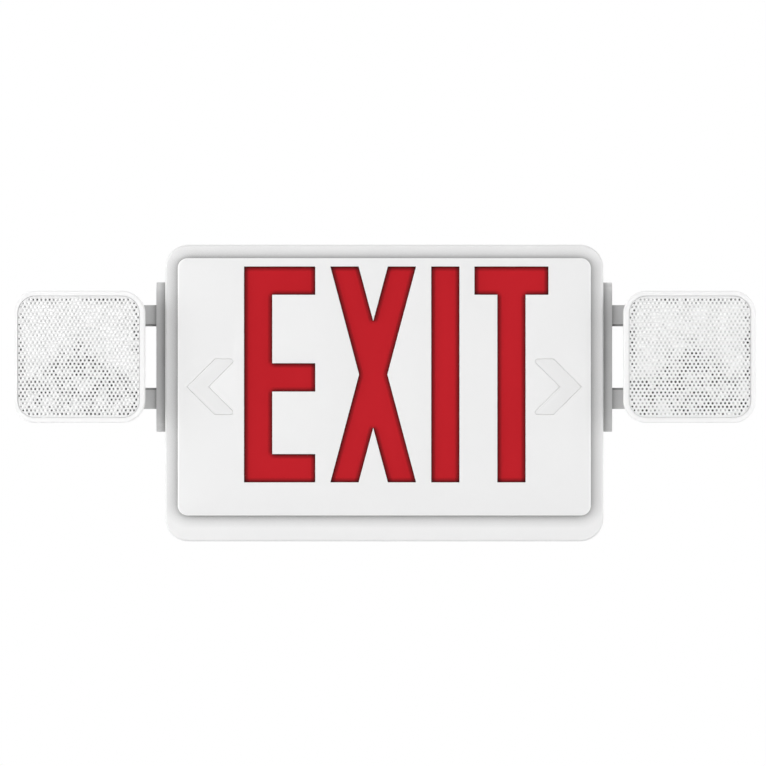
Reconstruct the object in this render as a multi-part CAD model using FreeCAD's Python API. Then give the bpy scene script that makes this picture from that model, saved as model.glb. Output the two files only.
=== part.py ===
import FreeCAD, Part
import math
import os

# Wall-mounted emergency exit light: a moulded sign case with a snap-in face plate, and a lamp
# head on each side in a bracket that tilts while the head pans between its arms.
#
# Millimetres. +X is to the viewer's right, +Y goes into the wall, +Z is up. The wall is the
# plane Y = 0. A "depth" is a distance in front of the wall: depth d is the plane Y = -d.
# The origin is the centre of the wire entry in the back plate, on the wall.

V = FreeCAD.Vector

# clearances
pass_gap = 0.3  # between pieces that move, or that only have to go together
run_gap = 0.06  # radial, between a pin or hub and the hole it turns in
seat_gap = 0.03  # radial, between a pin and the hole it is fixed in

# housing
body_width = 309.6
body_height = 209.6
body_depth = 44.0
body_corner = 16.3
body_wall = 2.5
rim_bevel = 1.2
rib_thick = 1.6
rib_height = 5.0
rib_spacing = 46.0

# face plate, proud of the housing's rim
face_margin_side = 9.05
face_margin_top = 9.55
face_margin_bottom = 18.35
face_corner = 7.0
face_proud = 4.5
face_skin = 2.5
face_bevel = 0.8
face_overlap = 2.2  # it rests on the housing this far round the window
skirt_wall = 1.6
skirt_length = 6.0  # from the housing's rim inwards
hook_catch = 1.2
hook_width = 14.0
hook_length = 2.4
hook_spread_x = 96.0  # outer hooks from the middle one
hook_spread_z = 46.0

# direction inserts
chevron_margin = 6.45  # from the face plate's end to the tip
chevron_half = 19.8  # half its height
chevron_width = 15.6
chevron_round = 1.8
chevron_flange = 1.2
chevron_flange_thick = 1.0
insert_gap = 0.15

# red panel and light box
diffuser_thick = 1.5
tray_wall = 1.6
tray_depth = 20.5
tray_slope = 15.0  # each wall leans in this far from front to back
tray_corner = 3.0
strip_margin = 9.75  # from the light box's floor edge
strip_height = 9.0
strip_thick = 1.2
strip_spread = 40.0  # each strip from the middle of the sign
led_size = 3.5
led_thick = 1.4
leds_per_strip = 10

# back plate
plate_thick = 3.0
entry_radius = 11.1
box_screw_spacing = 83.3
round_box_spacing = 88.9
box_screw_radius = 2.3
slot_spacing = 180.0
slot_height = 80.0
slot_length = 14.0
slot_radius = 2.5
rail_thick = 1.6
rail_height = 4.0
rail_inset = 8.0
pillar_size = 7.0
pillar_end = 36.8  # from the housing's end
pillar_top = 44.8  # upper pair, from the housing's top
pillar_foot = 46.8  # lower pair, from its underside
snap_width = 14.0
snap_thick = 1.8
snap_reach = 11.0
snap_catch = 1.2
snap_catch_length = 3.0
snap_spread = 70.0
catch_rib = 1.3

# control board and what is on it
board_width = 100.0
board_height = 70.0
board_thick = 1.6
board_left = 8.0
board_foot = 10.0  # its lower edge above the housing's floor
post_height = 6.0
post_size = 6.4
post_inset = 5.0
board_screw_radius = 1.2
board_screw_head = 5.0  # across flats
board_screw_head_thick = 1.8
terminal_size = (26.0, 10.0, 10.5)  # along X, Z and the depth
terminal_ways = 3
terminal_mouth = (4.4, 3.5)  # across, and along the depth
terminal_mouth_deep = 3.0
relay_size = (19.0, 14.0, 12.0)
connector_size = (10.0, 6.0, 7.0)
capacitor_radius = 5.0
capacitor_height = 12.0
# places on the board: across from its left edge, up from its lower edge
terminal_place = (22.0, 58.0)
relay_place = (78.0, 56.0)
connector_places = ((12.0, 34.0), (28.0, 34.0))
capacitor_places = ((50.0, 34.0), (62.0, 34.0))

# test button and status light, on the underside
control_depth = 14.2
button_x = 28.0
button_radius = 5.0
button_flange = 1.5
button_flange_thick = 1.4
button_stem = 4.4
button_travel = 1.5
plunger_radius = 1.75
plunger_fit = 0.1
plunger_hold = 2.5  # plunger inside the switch at rest
switch_size = 7.0
status_x = 56.0
status_radius = 2.4
status_flange = 1.1
status_flange_thick = 1.2
control_recess = 0.3
led_body_radius = 2.5
led_body_length = 5.0

# transformer
core_width = 36.0
core_height = 30.0
core_depth = 12.0
core_leg = 6.0
core_x = 60.0
core_z = 42.0
coil_depth = 20.0

# battery
cell_radius = 8.5
cell_length = 43.0
cell_count = 4
battery_end = 77.8  # middle of the pack from the housing's end
battery_z = -40.0
clip_width = 12.0
clip_thick = 1.2
clip_foot = 8.0

# bracket (yoke) at each side
yoke_z = 25.5
yoke_depth = 27.0  # tilt axis
tilt_limit = 25.0  # degrees each way
bar_length = 106.0
bar_depth = 14.0
bar_thick = 6.3
arm_spread = 29.3  # centre of each arm from the tilt axis
arm_height = 15.0
arm_depth = 9.0
arm_root = 8.0  # length of the taper from the bar
arm_step = 1.4
arm_step_depth = 2.5
eye_radius = 8.5
hub_radius = 7.0
hub_bore = 4.0
hub_flat = 6.0
washer_thick = 1.2  # it lies in a round recess in the housing's side
washer_radius = 10.0
seat_radius = 12.0
seat_thick = 2.2  # hub seat inside the housing's side wall
stop_washer_thick = 1.4
stop_washer_flats = 17.8
stop_lug_width = 5.0
stop_lug_reach = 13.5
stop_rib_width = 3.0
stop_rib_inner = 10.9
nut_across_flats = 18.0
nut_thick = 3.0
hub_end = 0.5

# lamp head
head_x = 53.6  # pan axis from the bracket bar's outer face
head_size = 93.0
head_corner = 16.0
head_bevel = 0.8
head_back = 22.4  # flange's back in front of the pan axis
head_depth = 11.6
head_wall = 2.0
lens_rim = 3.5
lens_thick = 2.6
lens_recess = 0.4
lens_ledge = 2.0
bowl_front = 84.0
bowl_depth = 6.4
bowl_width = 58.0
bowl_height = 42.0
bowl_corner = 9.0
neck_corner = 4.0
neck_width = 24.0
neck_depth = 10.0
barrel_radius = 12.0
pin_radius = 3.0
pin_hold = 10.0
pin_head = 10.0  # across flats
pin_head_thick = 2.4
lead_hole = 2.5
reflector_wall = 1.2
reflector_throat = 20.0
reflector_lip = 1.0
reflector_edge = 1.5
reflector_corner = 7.0
star_size = 20.0
star_thick = 1.6
chip_size = 8.0
chip_thick = 1.2

# what follows from them
face_width = body_width - 2 * face_margin_side
face_height = body_height - face_margin_top - face_margin_bottom
face_lift = (face_margin_bottom - face_margin_top) / 2
chevron_reach = face_width / 2 - chevron_margin
rim_inner = body_depth - body_wall
face_front = body_depth + face_proud
face_back = face_front - face_skin
window_width = face_width - 2 * face_overlap
window_height = face_height - 2 * face_overlap
window_corner = face_corner - face_overlap
skirt_width = window_width - 2 * pass_gap
skirt_height = window_height - 2 * pass_gap
skirt_corner = window_corner - pass_gap
panel_width = skirt_width - 2 * skirt_wall - 2 * pass_gap
panel_height = skirt_height - 2 * skirt_wall - 2 * pass_gap
tray_front = face_back - diffuser_thick
tray_back = tray_front - tray_depth
strip_width = panel_width - 2 * (tray_slope + tray_wall + strip_margin)
inner_x = body_width / 2 - body_wall
inner_z = body_height / 2 - body_wall
board_low = board_foot - inner_z
battery_x = battery_end - body_width / 2
board_back = plate_thick + post_height
board_front = board_back + board_thick
bar_inner = body_width / 2 + pass_gap
bar_outer = bar_inner + bar_thick
recess_x = bar_inner - washer_thick - pass_gap
pan_x = bar_outer + head_x
seat_x = inner_x - seat_thick
stop_x = seat_x - pass_gap
nut_x = stop_x - stop_washer_thick
hub_x = nut_x - nut_thick - hub_end
flange_back = yoke_depth + head_back
head_front = flange_back + head_depth
lens_front = head_front - lens_recess
lens_back = lens_front - lens_thick
bowl_back = flange_back - bowl_depth
cavity_back = bowl_back + head_wall
star_front = cavity_back + star_thick
barrel_half = arm_spread - arm_height / 2 - pass_gap
RIGHT = V(1, 0, 0)
UP = V(0, 0, 1)
OUT = V(0, -1, 0)


def at(x, depth, z):
    """Point at a depth in front of the wall."""
    return V(x, -depth, z)


def block(x0, x1, depth0, depth1, z0, z1):
    """Box between two corners."""
    return Part.makeBox(x1 - x0, depth1 - depth0, z1 - z0, at(x0, depth1, z0))


def centred(x, z, size_x, size_z, depth0, depth1):
    """Box with its middle at x, z."""
    return block(x - size_x / 2, x + size_x / 2, depth0, depth1, z - size_z / 2, z + size_z / 2)


def outline(width, height, radius, depth, x=0.0, z=0.0):
    """Rounded rectangle parallel to the wall."""
    edges = []
    first = None
    last = None
    for quarter, (side, up) in enumerate(((1, 1), (-1, 1), (-1, -1), (1, -1))):
        centre = at(x + side * (width / 2 - radius), depth, z + up * (height / 2 - radius))
        points = []
        for turn in (0, 45, 90):
            angle = math.radians(90 * quarter + turn)
            points.append(centre + V(radius * math.cos(angle), 0, radius * math.sin(angle)))
        if last is not None:
            edges.append(Part.LineSegment(last, points[0]).toShape())
        edges.append(Part.Arc(*points).toShape())
        first = first or points[0]
        last = points[2]
    edges.append(Part.LineSegment(last, first).toShape())
    return Part.Wire(edges)


def slab(width, height, radius, depth0, depth1, x=0.0, z=0.0):
    """Rounded rectangle with thickness, between two depths."""
    return Part.Face(outline(width, height, radius, depth0, x, z)).extrude(OUT * (depth1 - depth0))


def frustum(back, back_depth, front, front_depth, x=0.0, z=0.0):
    """Flat-sided solid between two rectangles parallel to the wall, each (width, height)."""
    return Part.makeWedge(x - front[0] / 2, -front_depth, z - front[1] / 2,
                          z - back[1] / 2, x - back[0] / 2,
                          x + front[0] / 2, -back_depth, z + front[1] / 2,
                          z + back[1] / 2, x + back[0] / 2)


def funnel(back, back_depth, front, front_depth, radius, x=0.0, z=0.0):
    """Frustum with its four long edges rounded."""
    solid = frustum(back, back_depth, front, front_depth, x, z)
    length = front_depth - back_depth
    return solid.makeFillet(radius, [edge for edge in solid.Edges if edge.BoundBox.YLength > length / 2])


def rod(start, direction, radius, length):
    """Round bar from a point."""
    return Part.makeCylinder(radius, length, start, direction)


def hexagon(start, direction, across_flats, length):
    """Six-sided bar from a point, along X, the depth or Z."""
    corner = across_flats / math.sqrt(3)
    side = V(0, 0, 1) if abs(direction.z) < 0.5 else V(1, 0, 0)
    points = []
    for number in range(6):
        turn = FreeCAD.Rotation(direction, 60 * number)
        points.append(start + turn.multVec(side * corner))
    return prism(points, direction * length)


def prism(points, direction):
    """Straight-sided profile pushed along a direction."""
    return Part.Face(Part.makePolygon(points + points[:1])).extrude(direction)


def bevel_front(shape, depth, size):
    """Breaks the edges that lie in one plane parallel to the wall."""
    edges = [edge for edge in shape.Edges
             if abs(edge.BoundBox.YMin + depth) < 1e-6 and abs(edge.BoundBox.YMax + depth) < 1e-6]
    return shape.makeChamfer(size, edges)


def join(shapes):
    """One solid from pieces that meet."""
    return shapes[0].multiFuse(shapes[1:]).removeSplitter()


def mirrored(shape):
    """The same piece on the other side."""
    return shape.mirror(V(0, 0, 0), RIGHT)


def body_block(inset, depth0, depth1):
    """The housing's outer form between two depths, set in from its outside."""
    return slab(body_width - 2 * inset, body_height - 2 * inset, body_corner - inset, depth0, depth1)


def meets_control(x):
    """Whether a rib at x would stand where the button or the status light goes through the floor."""
    button_reach = button_radius + button_flange + rib_thick
    status_reach = status_radius + status_flange + rib_thick
    return abs(x - button_x) < button_reach or abs(x - status_x) < status_reach


def wall_ribs():
    """Stiffening ribs on the top and bottom walls; the back plate stops against them."""
    ribs = []
    count = int((body_width / 2 - body_corner) / rib_spacing)
    for step in range(-count, count + 1):
        for up in (-1, 1):
            foot = up * (inner_z + body_wall / 2)
            tip = up * (inner_z - rib_height)
            x = step * rib_spacing
            if up < 0 and meets_control(x):
                continue
            low, high = sorted((foot, tip))
            ribs.append(block(x - rib_thick / 2, x + rib_thick / 2, plate_thick, rim_inner + 1, low, high))
    return ribs


def snap_catches():
    """Ribs inside the top and bottom walls that the back plate's snaps hook over."""
    depth = plate_thick + snap_reach - snap_catch_length - pass_gap
    catches = []
    for x in (-snap_spread, snap_spread):
        for up in (-1, 1):
            foot = up * (inner_z + body_wall / 2)
            tip = up * (inner_z - catch_rib - pass_gap)
            low, high = sorted((foot, tip))
            catches.append(block(x - snap_width / 2, x + snap_width / 2, depth - catch_rib, depth,
                                 low, high))
    return catches


def hub_seat():
    """Round pad through the right side wall with the two stops of the tilt, and what is cut from it."""
    centre = at(body_width / 2, yoke_depth, yoke_z)
    pad = rod(centre, -RIGHT, seat_radius, body_width / 2 - seat_x)
    half_lug = math.degrees(math.asin(stop_lug_width / 2 / stop_rib_inner))
    half_rib = math.degrees(math.asin(stop_rib_width / 2 / stop_rib_inner))
    swing = tilt_limit + half_lug + half_rib + math.degrees(pass_gap / stop_rib_inner)
    parts = [pad]
    for side in (-1, 1):
        rib = Part.makeBox(inner_x + body_wall / 2 - nut_x, stop_rib_width,
                           stop_lug_reach - stop_rib_inner,
                           V(nut_x, -stop_rib_width / 2, stop_rib_inner))
        rib.rotate(V(0, 0, 0), RIGHT, 180 + side * swing)
        rib.translate(at(0, yoke_depth, yoke_z))
        parts.append(rib)
    hole = rod(centre + RIGHT, -RIGHT, hub_radius + run_gap, body_width / 2 - seat_x + 2)
    recess = rod(centre + RIGHT, -RIGHT, washer_radius + pass_gap, body_width / 2 - recess_x + 1)
    return parts, [hole, recess]


def housing():
    outer = bevel_front(body_block(0, 0, body_depth), body_depth, rim_bevel)
    shell = outer.cut(body_block(body_wall, -1, rim_inner))
    pads, cuts = hub_seat()
    pads_left = [mirrored(pad) for pad in pads]
    shell = join([shell] + wall_ribs() + snap_catches() + pads + pads_left)
    window = slab(window_width, window_height, window_corner, rim_inner - 1, body_depth + 1, z=face_lift)
    floor = -body_height / 2 - 1
    button_hole = rod(at(button_x, control_depth, floor), UP, button_radius + pass_gap, body_wall + 2)
    status_hole = rod(at(status_x, control_depth, floor), UP, status_radius + seat_gap, body_wall + 2)
    cuts += [mirrored(cut) for cut in cuts]
    return shell.cut([window, button_hole, status_hole] + cuts)


def chevron(side, depth, grow=0.0):
    """Face of a direction insert, its tip pointing to one side, grown outwards all round."""
    tip = chevron_reach
    back = tip - chevron_half
    sharp = back - chevron_width
    trim = chevron_round / math.tan(math.radians(22.5))
    upper = [
        (back, chevron_half),
        (sharp + trim, chevron_half),
        (sharp + trim - chevron_round * math.sin(math.radians(67.5)),
         chevron_half - chevron_round * (1 - math.cos(math.radians(67.5)))),
        (sharp + trim * math.sqrt(0.5), chevron_half - trim * math.sqrt(0.5)),
    ]

    def place(x, z):
        return at(side * x, depth, face_lift + z)

    def half(up):
        top, cut, middle, low = [place(x, up * z) for x, z in upper]
        notch = place(tip - chevron_width, 0)
        return [
            Part.LineSegment(place(tip, 0), top).toShape(),
            Part.LineSegment(top, cut).toShape(),
            Part.Arc(cut, middle, low).toShape(),
            Part.LineSegment(low, notch).toShape(),
        ]

    wire = Part.Wire(Part.sortEdges(half(1) + half(-1))[0])
    if grow:
        wire = wire.makeOffset2D(grow)
    return Part.Face(wire)


def face_hooks():
    """Wedges on the skirt that catch behind the edge of the housing's window."""
    top = rim_inner - pass_gap
    low = top - hook_length
    hooks = []
    for x in (-hook_spread_x, 0, hook_spread_x):
        for up in (-1, 1):
            root = face_lift + up * (skirt_height / 2 - skirt_wall / 2)
            wall = face_lift + up * skirt_height / 2
            tip = wall + up * hook_catch
            profile = [at(x - hook_width / 2, d, z) for d, z in
                       ((top, root), (top, tip), (low, wall), (low, root))]
            hooks.append(prism(profile, RIGHT * hook_width))
    for z in (-hook_spread_z, hook_spread_z):
        for side in (-1, 1):
            root = side * (skirt_width / 2 - skirt_wall / 2)
            wall = side * skirt_width / 2
            tip = wall + side * hook_catch
            profile = [at(x, d, face_lift + z - hook_width / 2) for d, x in
                       ((top, root), (top, tip), (low, wall), (low, root))]
            hooks.append(prism(profile, UP * hook_width))
    return hooks


def face_plate():
    plate = slab(face_width, face_height, face_corner, body_depth, face_front, z=face_lift)
    plate = bevel_front(plate, face_front, face_bevel)
    skirt = slab(skirt_width, skirt_height, skirt_corner, body_depth - skirt_length, body_depth + 1,
                 z=face_lift)
    pocket = slab(skirt_width - 2 * skirt_wall, skirt_height - 2 * skirt_wall,
                  skirt_corner - skirt_wall, body_depth - skirt_length - 1, face_back, z=face_lift)
    shape = join([plate, skirt]).cut(pocket)
    shape = join([shape] + face_hooks())
    openings = []
    for side in (-1, 1):
        openings.append(chevron(side, face_back - 1).extrude(OUT * (face_skin + 2)))
        shelf = chevron(side, face_back - 1, chevron_flange)
        openings.append(shelf.extrude(OUT * (1 + chevron_flange_thick)))
    return shape.cut(openings)


def chevron_insert(side):
    shelf = chevron(side, face_back, chevron_flange - insert_gap)
    body = chevron(side, face_back, -insert_gap)
    return join([shelf.extrude(OUT * (chevron_flange_thick - insert_gap)),
                 body.extrude(OUT * face_skin)])


def red_diffuser():
    corner = skirt_corner - skirt_wall - pass_gap
    return slab(panel_width, panel_height, corner, tray_front, face_back, z=face_lift)


def tray_block(inset, depth0, depth1):
    """The light box's outer form between two depths, set in from its outside."""
    slope = tray_slope / tray_depth
    shrink = inset + slope * (tray_front - depth0)
    size = (panel_width - 2 * shrink, panel_height - 2 * shrink)
    return funnel(size, depth0, (panel_width - 2 * inset + 2 * slope * (depth1 - tray_front),
                                 panel_height - 2 * inset + 2 * slope * (depth1 - tray_front)),
                  depth1, tray_corner - inset, z=face_lift)


def light_box():
    outer = tray_block(0, tray_back, tray_front)
    return outer.cut(tray_block(tray_wall, tray_back + tray_wall, tray_front + 1))


def led_strip(up):
    floor = tray_back + tray_wall
    z = face_lift + up * strip_spread
    return centred(0, z, strip_width, strip_height, floor, floor + strip_thick)


def strip_leds(up):
    depth = tray_back + tray_wall + strip_thick
    z = face_lift + up * strip_spread
    pitch = strip_width / leds_per_strip
    leds = []
    for number in range(leds_per_strip):
        x = (number - (leds_per_strip - 1) / 2) * pitch
        leds.append(centred(x, z, led_size, led_size, depth, depth + led_thick))
    return Part.makeCompound(leds)


def slot(x, z, length, radius):
    """Cutter for a slot through the back plate, its length along X."""
    return slab(length, 2 * radius, radius - 0.001, -1, plate_thick + 1, x, z)


def plate_snaps():
    """Spring fingers that hook over the housing's inner ribs."""
    tip = plate_thick + snap_reach
    snaps = []
    for x in (-snap_spread, snap_spread):
        for up in (-1, 1):
            face = up * (inner_z - catch_rib - 2 * pass_gap)
            back = face - up * snap_thick
            low, high = sorted((face, back))
            snaps.append(block(x - snap_width / 2, x + snap_width / 2, 0, tip, low, high))
            profile = [at(x - snap_width / 2, d, z) for d, z in
                       ((tip - snap_catch_length, back), (tip - snap_catch_length, face + up * snap_catch),
                        (tip, face), (tip, back))]
            snaps.append(prism(profile, RIGHT * snap_width))
    return snaps


def board_posts():
    """Centres of the posts that carry the control board, as x, z."""
    xs = (board_left + post_inset, board_left + board_width - post_inset)
    zs = (board_low + post_inset, board_low + board_height - post_inset)
    return [(x, z) for x in xs for z in zs]


def board_fixings():
    """The two posts, across a diagonal, that take a screw."""
    posts = board_posts()
    return [posts[0], posts[3]]


def coil_size():
    """Width and height of the transformer's coil."""
    window = (core_width - 4 * core_leg) / 2
    leg = 2 * core_leg
    return leg + 2 * (window - pass_gap), core_height - 2 * core_leg - 2 * pass_gap


def clip_reach():
    """Half the width of the battery pack with the clip's clearance."""
    return cell_count * cell_radius + pass_gap


def back_plate():
    inset = body_wall + pass_gap
    width = body_width - 2 * inset
    height = body_height - 2 * inset
    corner = body_corner - inset
    plate = slab(width, height, corner, 0, plate_thick)
    rail = slab(width - 2 * rail_inset, height - 2 * rail_inset, corner - rail_inset,
                plate_thick - 1, plate_thick + rail_height)
    rail = rail.cut(slab(width - 2 * rail_inset - 2 * rail_thick, height - 2 * rail_inset - 2 * rail_thick,
                         corner - rail_inset - rail_thick, 0, plate_thick + rail_height + 1))
    parts = [plate, rail] + plate_snaps()
    for side in (-1, 1):
        x = side * (body_width / 2 - pillar_end)
        for z in (body_height / 2 - pillar_top, pillar_foot - body_height / 2):
            parts.append(centred(x, z, pillar_size, pillar_size, 0, tray_back))
    for x, z in board_posts():
        parts.append(centred(x, z, post_size, post_size, 0, board_back))
    cradle = plate_thick + (coil_depth - core_depth) / 2
    for side in (-1, 1):
        x = core_x + side * (core_width - core_leg) / 2
        parts.append(centred(x, core_z, core_leg, core_height, 0, cradle))
    shape = join(parts)
    cuts = [rod(at(0, -1, 0), OUT, entry_radius, plate_thick + 2)]
    for up in (-1, 1):
        cuts.append(rod(at(0, -1, up * box_screw_spacing / 2), OUT, box_screw_radius, plate_thick + 2))
        cuts.append(rod(at(up * round_box_spacing / 2, -1, 0), OUT, box_screw_radius, plate_thick + 2))
        cuts.append(slot(up * slot_spacing / 2, slot_height, slot_length, slot_radius))
    for x, z in board_fixings():
        cuts.append(rod(at(x, plate_thick, z), OUT, board_screw_radius + seat_gap, post_height + 1))
    for x, z in clip_feet():
        cuts.append(rod(at(x, 1, z), OUT, board_screw_radius + seat_gap, plate_thick))
    return shape.cut(cuts)


def clip_feet():
    """Centres of the battery clip's two screws, as x, z."""
    reach = clip_reach() + clip_thick + clip_foot / 2
    return [(battery_x - reach, battery_z), (battery_x + reach, battery_z)]


def screw(x, depth, z, length):
    """Screw driven towards the wall, its head on a face at this depth."""
    head = hexagon(at(x, depth, z), OUT, board_screw_head, board_screw_head_thick)
    return join([head, rod(at(x, depth, z), -OUT, board_screw_radius, length)])


def control_board():
    board = block(board_left, board_left + board_width, board_back, board_front,
                  board_low, board_low + board_height)
    return board.cut([rod(at(x, board_back - 1, z), OUT, board_screw_radius + pass_gap, board_thick + 2)
                      for x, z in board_fixings()])


def board_screws():
    return Part.makeCompound([screw(x, board_front, z, board_thick + post_height - 1)
                              for x, z in board_fixings()])


def clip_screws():
    depth = plate_thick + clip_thick
    return Part.makeCompound([screw(x, depth, z, clip_thick + plate_thick - 1.5) for x, z in clip_feet()])


def on_board(place, size):
    """Box part standing on the board."""
    across, up = place
    width, height, depth = size
    return centred(board_left + across, board_low + up, width, height, board_front, board_front + depth)


def terminal_block():
    """Supply terminals, a mouth for each wire in the upper side."""
    width, height, depth = terminal_size
    across, up = terminal_place
    mouth, tall = terminal_mouth
    low = board_front + (depth - tall) / 2
    top = board_low + up + height / 2
    cuts = []
    for number in range(terminal_ways):
        x = board_left + across + (number - (terminal_ways - 1) / 2) * width / terminal_ways
        cuts.append(block(x - mouth / 2, x + mouth / 2, low, low + tall,
                          top - terminal_mouth_deep, top + 1))
    return on_board(terminal_place, terminal_size).cut(cuts)


def relay():
    return on_board(relay_place, relay_size)


def lamp_connectors():
    return Part.makeCompound([on_board(place, connector_size) for place in connector_places])


def capacitors():
    cans = []
    for across, up in capacitor_places:
        foot = at(board_left + across, board_front, board_low + up)
        cans.append(rod(foot, OUT, capacitor_radius, capacitor_height))
    return Part.makeCompound(cans)


def test_switch():
    """Push switch on the board's lower edge; its bore opens downwards."""
    low = board_low
    body = block(button_x - switch_size / 2, button_x + switch_size / 2, board_front,
                 control_depth + switch_size / 2, low, low + switch_size)
    depth = plunger_hold + button_travel + pass_gap
    return body.cut(rod(at(button_x, control_depth, low - 1), UP, plunger_radius + plunger_fit, depth + 1))


def switch_plunger():
    top = board_low + plunger_hold
    foot = button_top()
    return rod(at(button_x, control_depth, foot), UP, plunger_radius, top - foot)


def button_top():
    """Height of the top of the button's stem: it clears the switch when pressed."""
    return board_low - button_travel - pass_gap


def test_button():
    base = -body_height / 2 + control_recess
    flange = pass_gap - inner_z
    cap = rod(at(button_x, control_depth, base), UP, button_radius, flange - base)
    reach = button_radius + button_flange
    rim = block(button_x - reach, button_x + reach, control_depth - reach, control_depth + reach,
                flange, flange + button_flange_thick)
    half = button_stem / 2
    stem = block(button_x - half, button_x + half, control_depth - half, control_depth + half,
                 flange, button_top())
    return join([cap, rim, stem])


def status_lens():
    """Light pipe from the status LED to the underside."""
    base = -body_height / 2 + control_recess
    pipe = rod(at(status_x, control_depth, base), UP, status_radius, board_low - led_body_length / 2 - base)
    reach = status_radius + status_flange
    rim = block(status_x - reach, status_x + reach, control_depth - reach, control_depth + reach,
                -inner_z, status_flange_thick - inner_z)
    return join([pipe, rim])


def status_led():
    low = board_low - led_body_length / 2
    body = rod(at(status_x, control_depth, low), UP, led_body_radius, led_body_length)
    block_low = board_low
    mount = block(status_x - led_body_radius, status_x + led_body_radius, board_front,
                  control_depth + led_body_radius, block_low, block_low + led_body_length)
    return join([body, mount])


def transformer_middle():
    return plate_thick + coil_depth / 2


def transformer_core():
    """Laminated core with a leg through the middle of the coil."""
    near = transformer_middle() - core_depth / 2
    core = centred(core_x, core_z, core_width, core_height, near, near + core_depth)
    window = (core_width - 4 * core_leg) / 2
    cuts = []
    for side in (-1, 1):
        x = core_x + side * (core_leg + window / 2)
        cuts.append(centred(x, core_z, window, core_height - 2 * core_leg, near - 1, near + core_depth + 1))
    return core.cut(cuts)


def transformer_coil():
    width, height = coil_size()
    coil = centred(core_x, core_z, width, height, plate_thick, plate_thick + coil_depth)
    coil = coil.makeFillet(2.0, [edge for edge in coil.Edges if edge.BoundBox.ZLength > height - 0.1])
    near = transformer_middle() - core_depth / 2 - pass_gap / 2
    leg = centred(core_x, core_z, 2 * core_leg + pass_gap, height + 2, near, near + core_depth + pass_gap)
    return coil.cut(leg)


def battery_pack():
    """Cells side by side in shrink film, closed for good."""
    base = plate_thick + pass_gap
    low = battery_z - cell_length / 2
    first = battery_x - (cell_count - 1) * cell_radius
    ends = [rod(at(x, base + cell_radius, low), UP, cell_radius, cell_length)
            for x in (first, first + 2 * (cell_count - 1) * cell_radius)]
    film = block(first, first + 2 * (cell_count - 1) * cell_radius, base, base + 2 * cell_radius,
                 low, low + cell_length)
    return join(ends + [film])


def battery_clip():
    reach = clip_reach()
    top = plate_thick + 2 * pass_gap + 2 * cell_radius
    outer = reach + clip_thick
    bridge = centred(battery_x, battery_z, 2 * outer, clip_width, plate_thick, top + clip_thick)
    bridge = bridge.cut(centred(battery_x, battery_z, 2 * reach, clip_width + 2, plate_thick - 1, top))
    feet = [centred(battery_x + side * (outer + clip_foot / 2), battery_z, clip_foot, clip_width,
                    plate_thick, plate_thick + clip_thick) for side in (-1, 1)]
    clip = join([bridge] + feet)
    return clip.cut([rod(at(x, plate_thick - 1, z), OUT, board_screw_radius + pass_gap, clip_thick + 2)
                     for x, z in clip_feet()])


def tilt_axis(x):
    return at(x, yoke_depth, yoke_z)


def flatted(radius, x, length):
    """Round bar along the tilt axis with two flats, running inwards from x."""
    bar = rod(tilt_axis(x), -RIGHT, radius, length)
    flat = hub_flat + radius - hub_radius
    return bar.common(block(x - length - 1, x + 1, yoke_depth - 2 * radius, yoke_depth + 2 * radius,
                            yoke_z - flat, yoke_z + flat))


def bar_profile(x):
    """Bar seen from the side: rounded ends round the tilt axis."""
    radius = bar_depth / 2
    half = bar_length / 2 - radius
    top, low = yoke_z + half, yoke_z - half
    near, far = yoke_depth - radius, yoke_depth + radius
    edges = [
        Part.LineSegment(at(x, near, low), at(x, near, top)).toShape(),
        Part.Arc(at(x, near, top), at(x, yoke_depth, top + radius), at(x, far, top)).toShape(),
        Part.LineSegment(at(x, far, top), at(x, far, low)).toShape(),
        Part.Arc(at(x, far, low), at(x, yoke_depth, low - radius), at(x, near, low)).toShape(),
    ]
    return Part.Face(Part.Wire(edges))


def arm(up):
    """Arm from the bar to the eye that holds a pan pin, with a stepped inner edge."""
    low = yoke_z + up * arm_spread - arm_height / 2
    half = arm_depth / 2
    root = bar_depth / 2
    start = bar_outer - bar_thick / 2
    knee = bar_outer + arm_root
    profile = [(start, -root), (bar_outer, -root), (knee, -half), (pan_x, -half),
               (pan_x, half), (start, half)]
    shape = prism([at(x, yoke_depth + d, low) for x, d in profile], UP * arm_height)
    eye = rod(at(pan_x, yoke_depth, low), UP, eye_radius, arm_height)
    inner = low if up > 0 else low + arm_height - arm_step
    step = block(bar_outer, pan_x + eye_radius + 1, yoke_depth + half - arm_step_depth,
                 yoke_depth + bar_depth, inner, inner + arm_step)
    return join([shape, eye]).cut(step)


def yoke():
    bar = bar_profile(bar_inner).extrude(RIGHT * bar_thick)
    hub = rod(tilt_axis(bar_inner + 1), -RIGHT, hub_radius, bar_inner + 1 - stop_x)
    tail = flatted(hub_radius, stop_x + 1, stop_x + 1 - hub_x)
    shape = join([bar, hub, tail, arm(1), arm(-1)])
    cuts = [rod(tilt_axis(bar_outer + 1), -RIGHT, hub_bore, bar_outer + 2 - hub_x)]
    for up in (-1, 1):
        low = yoke_z + up * arm_spread - arm_height / 2 - 1
        cuts.append(rod(at(pan_x, yoke_depth, low), UP, pin_radius + run_gap, arm_height + 2))
    return shape.cut(cuts)


def friction_washer():
    ring = rod(tilt_axis(bar_inner), -RIGHT, washer_radius, washer_thick)
    return ring.cut(rod(tilt_axis(bar_inner + 1), -RIGHT, hub_radius + seat_gap, washer_thick + 2))


def stop_washer():
    """Keyed washer inside the case; its lug meets the housing's stops."""
    plate = hexagon(tilt_axis(stop_x), -RIGHT, stop_washer_flats, stop_washer_thick)
    half = stop_lug_width / 2
    lug = block(stop_x - stop_washer_thick, stop_x, yoke_depth - half, yoke_depth + half,
                yoke_z - stop_lug_reach, yoke_z - hub_radius - 1)
    hole = flatted(hub_radius + seat_gap, stop_x + 1, stop_washer_thick + 2)
    return join([plate, lug]).cut(hole)


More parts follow.
